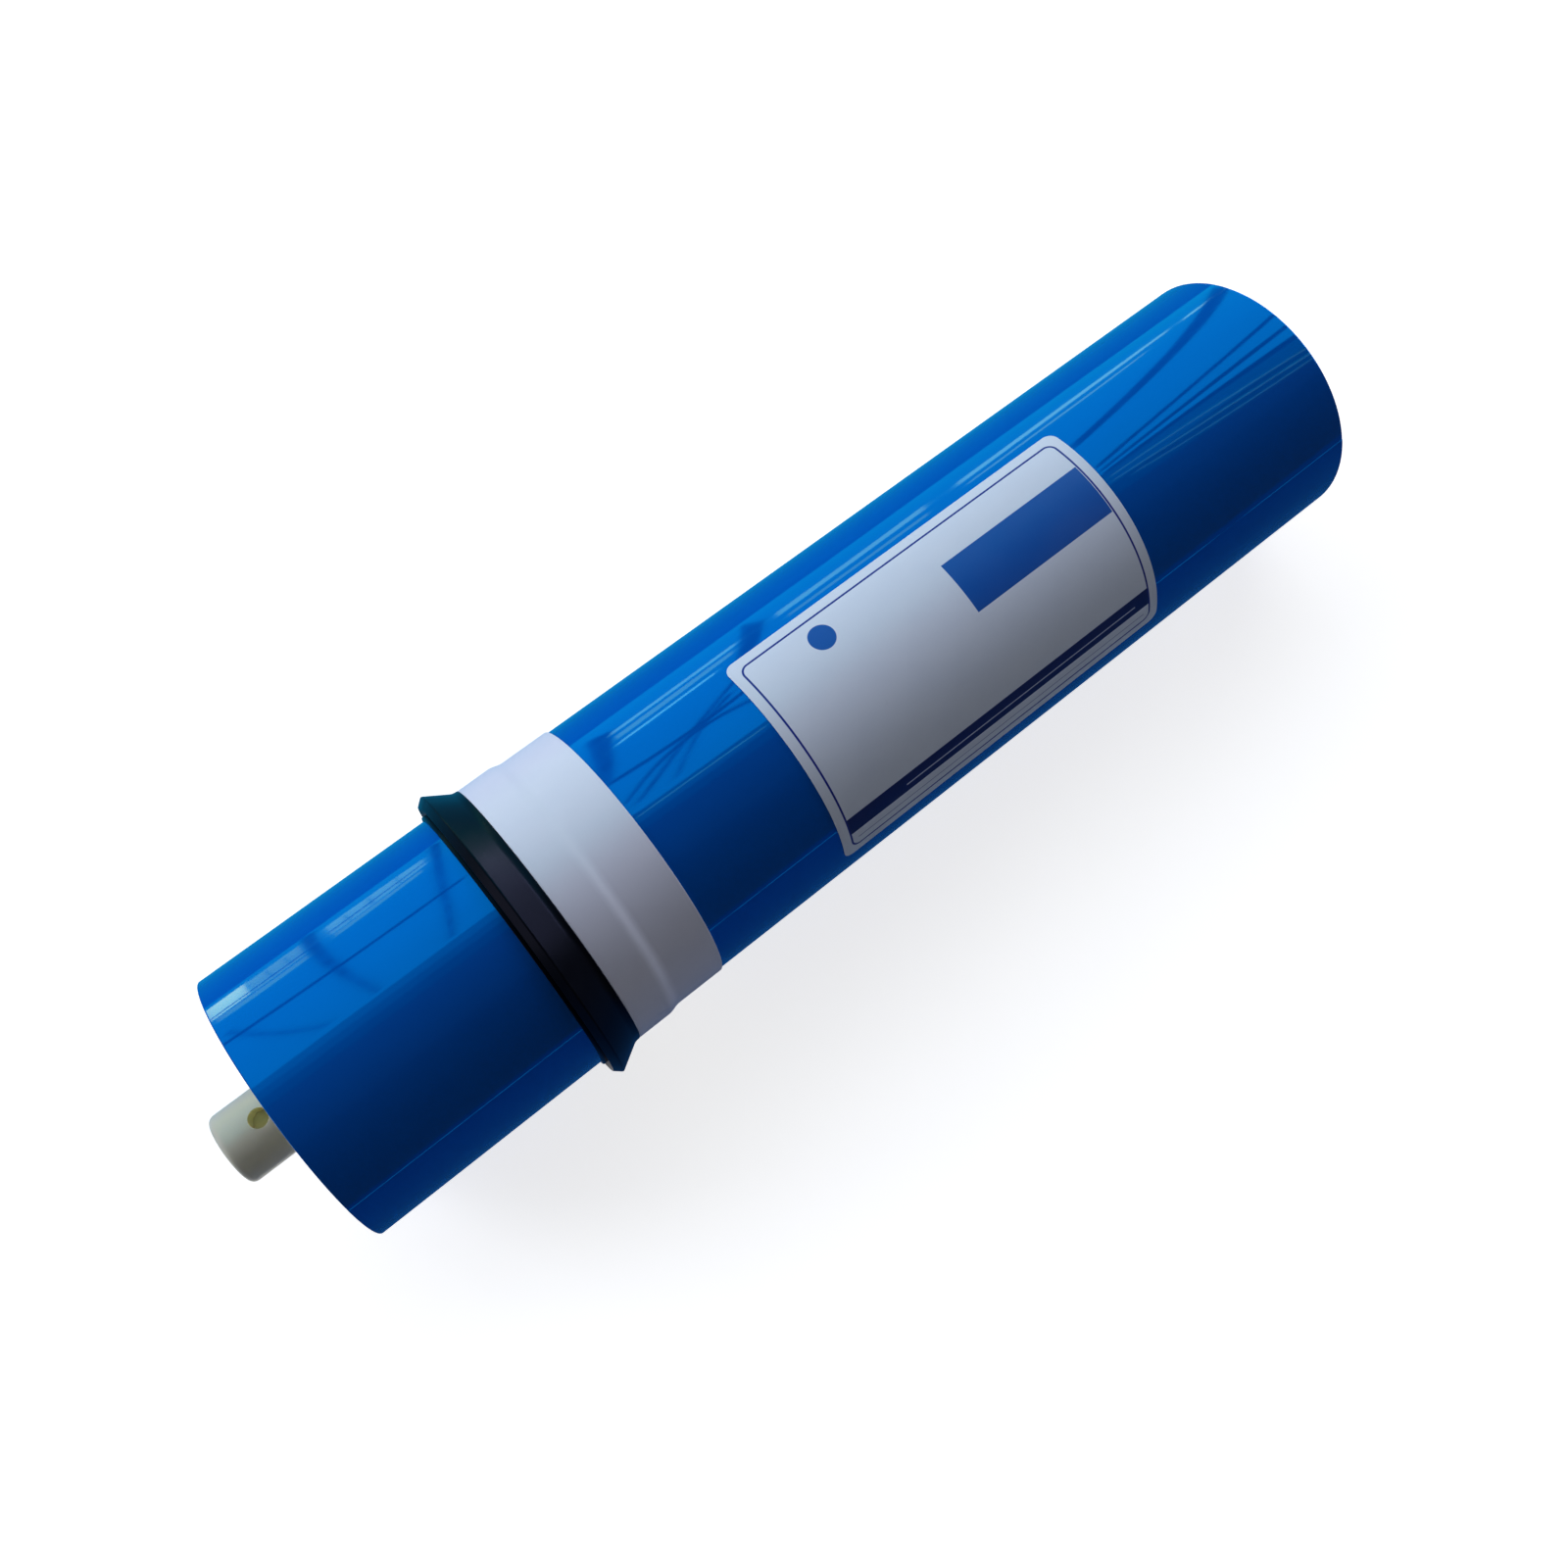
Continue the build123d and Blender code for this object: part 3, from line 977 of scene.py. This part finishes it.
@dataclass(frozen=True)
class RoomCard:
    """A card on a round wall about the axis, which only gloss shows.

    It is written by where the photograph shows it on the shell: a line through three points of place and
    turn with a width in mm at each, and it is bright or dim.
    """

    path: tuple[tuple[float, float], ...]
    widths: tuple[float, float, float]
    bright: float
    distance: float
    colour: str
    steps: int = 40

    def grid(self) -> Array:
        """The card's two edges in metres.

        The line is the parabola through its points, and its edges lie half a width to each side on the
        unrolled shell. The mirror of the shell then sends a place to X = place + distance times a slope
        that grows evenly with place and turn, and stretches and shifts the turn.
        """
        t = np.linspace(0, 1, self.steps)
        weights = np.stack([(1 - t) * (1 - 2 * t), 4 * t * (1 - t), t * (2 * t - 1)], -1)
        to_mm = np.array([1.0, math.radians(1) * SHELL_RADIUS])
        line = weights @ (np.array(self.path) * to_mm)
        half = weights @ (np.array(self.widths) / 2)
        ahead = np.gradient(line, axis=0)
        aside = np.stack([-ahead[:, 1], ahead[:, 0]], -1) / np.linalg.norm(ahead, axis=1, keepdims=True)
        edges = np.stack([line + aside * half[:, None], line - aside * half[:, None]]) / to_mm
        edges = edges[:1] + (edges[1:] - edges[:1]) * np.linspace(0, 1, 13)[:, None, None]
        place, turn = edges[..., 0], edges[..., 1]
        x = place_x(place) * MM + self.distance * (SLOPE + SLOPE_PER_MM * place + SLOPE_PER_DEGREE * turn)
        return round_axis(x, self.distance, np.radians(TURN_GAIN * turn + TURN_SHIFT))

    def build(self, name: str) -> None:
        """Hangs the card."""
        hang_card(name, self.grid(), self.bright, self.colour)


def hung(colour: str, distance: float, *rows: tuple) -> tuple[RoomCard, ...]:
    """Cards from rows of brightness, three places with their turns, and three widths or one for all."""
    return tuple(RoomCard(tuple(zip(r[1:7:2], r[2:7:2])), (r[7:] * 3)[:3], r[0], distance, colour) for r in rows)


def hang_card(name: str, grid: Array, bright: float, colour: str = "#F2F7FF") -> None:
    """Makes a glowing sheet that only gloss shows, so it lights nothing and no camera sees it.

    Args:
        name: The sheet's name.
        grid: Its points in metres, rows by columns by 3.
        bright: Its radiance.
        colour: Its colour.
    """
    sheet = Surface.from_grid(grid)
    mesh = bpy.data.meshes.new(name)
    mesh.from_pydata(sheet.points.tolist(), [], sheet.quads.tolist())
    material, tree = new_material(f"painted_card_{name}")
    glow = add_node(tree, "Emission", {"Color": linear(colour), "Strength": bright})
    add_node(tree, "OutputMaterial", {"Surface": glow})
    mesh.materials.append(material)
    card = placed(name, mesh)
    card.visible_camera = card.visible_diffuse = card.visible_shadow = card.visible_transmission = False


SKY = "#20F0F4"
PANE = "#D6FFC6"
BAR = "#28D2F4"
WINDOWS = hung(SKY, 1.20,
    (1.35, -60, -17, 30, -17, 62, -17, 26.2, 26.2, 26),
    (1.35, 62, -17, 115, -15.5, 165, -15, 26, 28.2, 28.4),
    (1.35, 165, -15, 250, -14.2, 420, -11, 28.4, 29, 33),
) + hung(SKY, 1.30,
    (0.60, -60, 3.9, 20, 3.9, 75, 4.2, 2),
) + hung(SKY, 1.31,
    (0.34, -60, 6.4, 20, 6.4, 75, 6.7, 1.9),
) + hung(SKY, 1.32,
    (0.17, -60, 9.4, 20, 9.4, 75, 9.7, 2.4),
) + hung(SKY, 1.30,
    (0.42, 95, 7.5, 200, 9.2, 420, 15, 2.2, 3, 5),
) + hung(SKY, 1.31,
    (0.17, 95, 10.2, 200, 13.2, 420, 21.5, 2.4, 3.2, 4.6),
)
PANES = hung("#FFE190", 1.1,
    (7.5, 1.5, -31.5, 7, -31.5, 12, -31.5, 4.2),
) + hung(PANE, 1.1,
    (2.3, 13, -31, 20, -31, 26.5, -31, 4),
    (2.3, 3, -27, 15, -26.5, 26.5, -26.5, 1.2),
    (2.7, 33.5, -31, 46, -31, 60, -31, 3.4, 3.2, 2.4),
    (2.3, 34, -27.2, 46, -27.4, 58, -27.8, 1.1, 1, 0.8),
    (3.5, 112, -27.8, 130, -27.8, 151, -28, 0.9),
    (2.7, 113, -24.6, 131, -24.8, 149, -25.2, 1.3, 1.3, 1.1),
    (4.6, 112, -21.6, 124, -21.7, 142, -21.8, 0.6, 0.6, 0.5),
    (3.1, 164, -27.6, 190, -27.6, 213, -27.8, 1.6, 1.4, 1.6),
    (2.3, 166, -23.6, 185, -23.6, 212, -23.8, 0.9),
    (3.5, 224, -27.6, 262, -28, 300, -28.2, 1.3, 1.1, 0.7),
    (2.7, 226, -24.4, 262, -24.8, 290, -25.4, 0.6, 0.6, 0.4),
    (3.8, 306, -28.2, 316, -28.3, 330, -28.4, 0.7),
)
BARS = hung(BAR, 1.0,
    (0.20, 29.5, -36, 29.5, -18, 33.5, 2, 3.6, 2.6, 1.2),
    (0.20, 64.5, -36, 59, -15, 53.5, 2, 2.6, 2, 1.2),
    (0.25, 3, -20, 11, -8, 21, 1, 0.9, 0.8, 0.7),
    (0.27, -2, -16.5, 30, -14.5, 64, -13.5, 0.7, 0.7, 0.6),
    (0.23, 110, -31, 107, -20, 103, -10, 6.5, 5, 3),
    (0.23, 158, -32, 153.5, -24, 149, -18, 6, 5, 3.6),
    (0.23, 103, -9.5, 126, -7, 146, -7.5, 0.8, 0.9, 0.8),
    (0.23, 106, 3, 126, -6, 146, -14.5, 0.8, 0.9, 0.8),
    (0.23, 117, 4, 128, -4.5, 141, -10, 0.7, 0.8, 0.8),
    (0.23, 104, 0.5, 124, -5.5, 146, -2, 0.7, 0.8, 0.8),
    (0.23, 322, -31, 298, -18, 253, -8.5, 5.5, 2.8, 1.6),
    (0.23, 330, -3.5, 292, 0.5, 254, 4.5, 1, 0.9, 0.8),
    (0.23, 330, 4, 292, 5, 254, 6.5, 1.1, 0.9, 0.6),
    (0.14, 330, 10, 292, 8.5, 254, 8, 1.4, 1.1, 0.6),
) + hung(BAR, 1.05,
    (0.9, 2, -29.4, 14, -29.3, 27, -29.2, 0.35),
    (0.9, 17.6, -33.2, 17.8, -31, 18.2, -28.6, 0.5),
    (0.9, 22.4, -33.2, 22.6, -31, 23, -28.6, 0.5),
    (0.9, 38.5, -33, 38.7, -31, 39, -28.6, 0.5),
    (0.9, 44.8, -33, 45, -31, 45.2, -28.8, 0.6),
    (0.9, 52.5, -33, 52.6, -31, 52.8, -28.8, 0.5),
    (0.9, 34, -30.2, 46, -30.3, 60, -30.6, 0.4, 0.35, 0.3),
)
STREAKS = hung(PANE, 1.1,
    (1.1, 256, 10.4, 292, 13, 330, 17, 0.35, 0.35, 0.4),
    (1.1, 256, 12.4, 292, 16, 330, 19.6, 0.3, 0.35, 0.4),
    (0.9, 262, 14.8, 292, 18.6, 330, 21.6, 0.3, 0.3, 0.35),
    (1.5, 104, 7, 122, 7.6, 142, 8.3, 0.3),
)


@dataclass
class Studio:
    """Camera, floor, lamps, and the room that the gloss shows: windows on the +Y side and dim walls elsewhere."""

    floor_low: tuple[float, float] = (-94.3, -42.95)
    floor_high: tuple[float, float] = (162.5, -37.55)
    floor_glow: float = 0.76
    glow_span: tuple[float, float] = (0.45, 2.2)
    wall_radius: float = 1.6
    side_y: float = -0.25
    lamps: tuple[Softbox, ...] = (
        Softbox((0.35, 0.78, 0.92), (2.1, 1.0), 1.7),
        Softbox((-1.15, 1.05, 0.62), (1.0, 1.0), 5.0),
        Softbox((1.8, 0.05, 0.32), (0.7, 0.5), 8.0),
    )
    cards: tuple[RoomCard, ...] = WINDOWS + PANES + BARS + STREAKS

    def camera(self) -> None:
        """Stands the camera where the photograph was taken from."""
        lens = bpy.data.cameras.new("camera")
        lens.lens, lens.sensor_width = 33.77, 36.0
        lens.shift_x, lens.shift_y = 0.0419, -0.0306
        lens.clip_start, lens.clip_end = 0.01, 60.0
        camera = placed("camera", lens)
        right, up, back = (0.78274, -0.62234, 0.0), (0.57842, 0.72750, 0.36901), (-0.22965, -0.28884, 0.92943)
        matrix = Matrix((right, up, back)).transposed().to_4x4()
        matrix.translation = Vector((-0.111679, -0.101884, 0.363835))
        camera.matrix_world = matrix
        bpy.context.scene.camera = camera

    def seen_directly(self, tree: NodeTree) -> Node:
        """The node that is 1 for camera, glossy and transmission rays, which see the pale background."""
        rays = add_node(tree, "LightPath")
        camera, glossy, through = (rays.outputs[f"Is {kind} Ray"] for kind in ("Camera", "Glossy", "Transmission"))
        seen = add_node(tree, "Math", (camera, glossy), operation="MAXIMUM")
        return add_node(tree, "Math", (seen, through), operation="MAXIMUM")

    def on_floor(self, x: Array, y: Array, above: float = 0.0) -> Array:
        """Points in metres from mm above the floor, which slopes to touch both the lip seal and the far end."""
        (x0, z0), (x1, z1) = self.floor_low, self.floor_high
        return points_at(x, y, z0 + (x - x0) * (z1 - z0) / (x1 - x0) + above) * MM

    def floor(self) -> None:
        """Lays the floor, whose glow grows away from the element until it meets the white backdrop with no edge."""
        points = self.on_floor(np.array([-8e3, 8e3, 8e3, -8e3]), np.array([-8e3, -8e3, 8e3, 8e3]))
        mesh = bpy.data.meshes.new("floor")
        mesh.from_pydata(points.tolist(), [], [(0, 1, 2, 3)])
        material, tree = new_material("matt_white_paper")
        place = add_node(tree, "TexCoord").outputs["Object"]
        away = add_node(tree, "VectorMath", (place,), operation="LENGTH").outputs["Value"]
        level = add_node(tree, "MapRange", (away, *self.glow_span, self.floor_glow, 1.0))
        glow = add_node(tree, "Math", (self.seen_directly(tree), level), operation="MULTIPLY")
        paper = add_node(tree, "BsdfDiffuse", {"Color": linear("#DCDAD4")})
        light = add_node(tree, "Emission", {"Color": (1, 1, 1, 1), "Strength": glow})
        both = add_node(tree, "AddShader", (paper, light))
        add_node(tree, "OutputMaterial", {"Surface": both})
        mesh.materials.append(material)
        placed("floor", mesh)

    def walls(self) -> None:
        """Hangs the dim round wall, and lays out beside the element what its lower sides show.

        On the -Y side a dim card lies on the floor and a dark one stands behind it. On the +Y side a bright
        card lies on the floor. Beyond the far end a bright ring lights the collar's step, and the shell's
        straight wall can't mirror it.
        """
        wall = round_axis(np.array([[-3.0], [4.0]]), self.wall_radius, np.radians(np.linspace(-98, 98, 49)))
        hang_card("round_wall", wall, 0.06)
        hang_card("side_card", points_at(np.array([[-1.2], [1.6]]), self.side_y, np.array([-0.06, 0.30])), 0.04)
        length = np.array([[-1200.0], [1600.0]])
        hang_card("floor_card_near", self.on_floor(length, np.array([-249.0, -30.0]), 0.5), 0.24, "#3C96FF")
        hang_card("floor_card_far", self.on_floor(length, np.array([30.0, 1200.0]), 0.5), 0.62, "#1EBCFF")
        ring = round_axis(np.array([[1.18], [1.60]]), 1.0, np.radians(np.linspace(-115, 115, 47)))
        hang_card("end_ring", ring, 9.0)

    def world(self) -> None:
        """Fills the room with soft light, and shows white to the camera, to gloss and through glass."""
        world = bpy.data.worlds.new("studio")
        world.use_nodes = True
        tree = world.node_tree
        tree.nodes.clear()
        fill = add_node(tree, "Background", {"Color": linear("#F4F2FF"), "Strength": 0.075})
        white = add_node(tree, "Background", {"Color": (1, 1, 1, 1), "Strength": 1.0})
        both = add_node(tree, "MixShader", (self.seen_directly(tree), fill, white))
        add_node(tree, "OutputWorld", {"Surface": both})
        bpy.context.scene.world = world

    def build(self) -> None:
        """Sets up the studio."""
        bpy.context.scene.view_settings.view_transform = "Standard"
        self.camera()
        self.floor()
        self.walls()
        self.world()
        for number, lamp in enumerate(self.lamps):
            lamp.build(f"softbox_{number}")
        for number, card in enumerate(self.cards):
            card.build(f"card_{number}")


def main() -> None:
    """Builds the studio and the element's pieces in order."""
    logging.basicConfig(level=logging.INFO, format="%(name)s: %(message)s")
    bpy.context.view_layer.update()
    Studio().build()
    FilmShell().build()
    SealSet().build()
    PermeateTube().build()
    WoundRoll().build()
    ShellLabel().build()


if __name__ == "__main__":
    main()
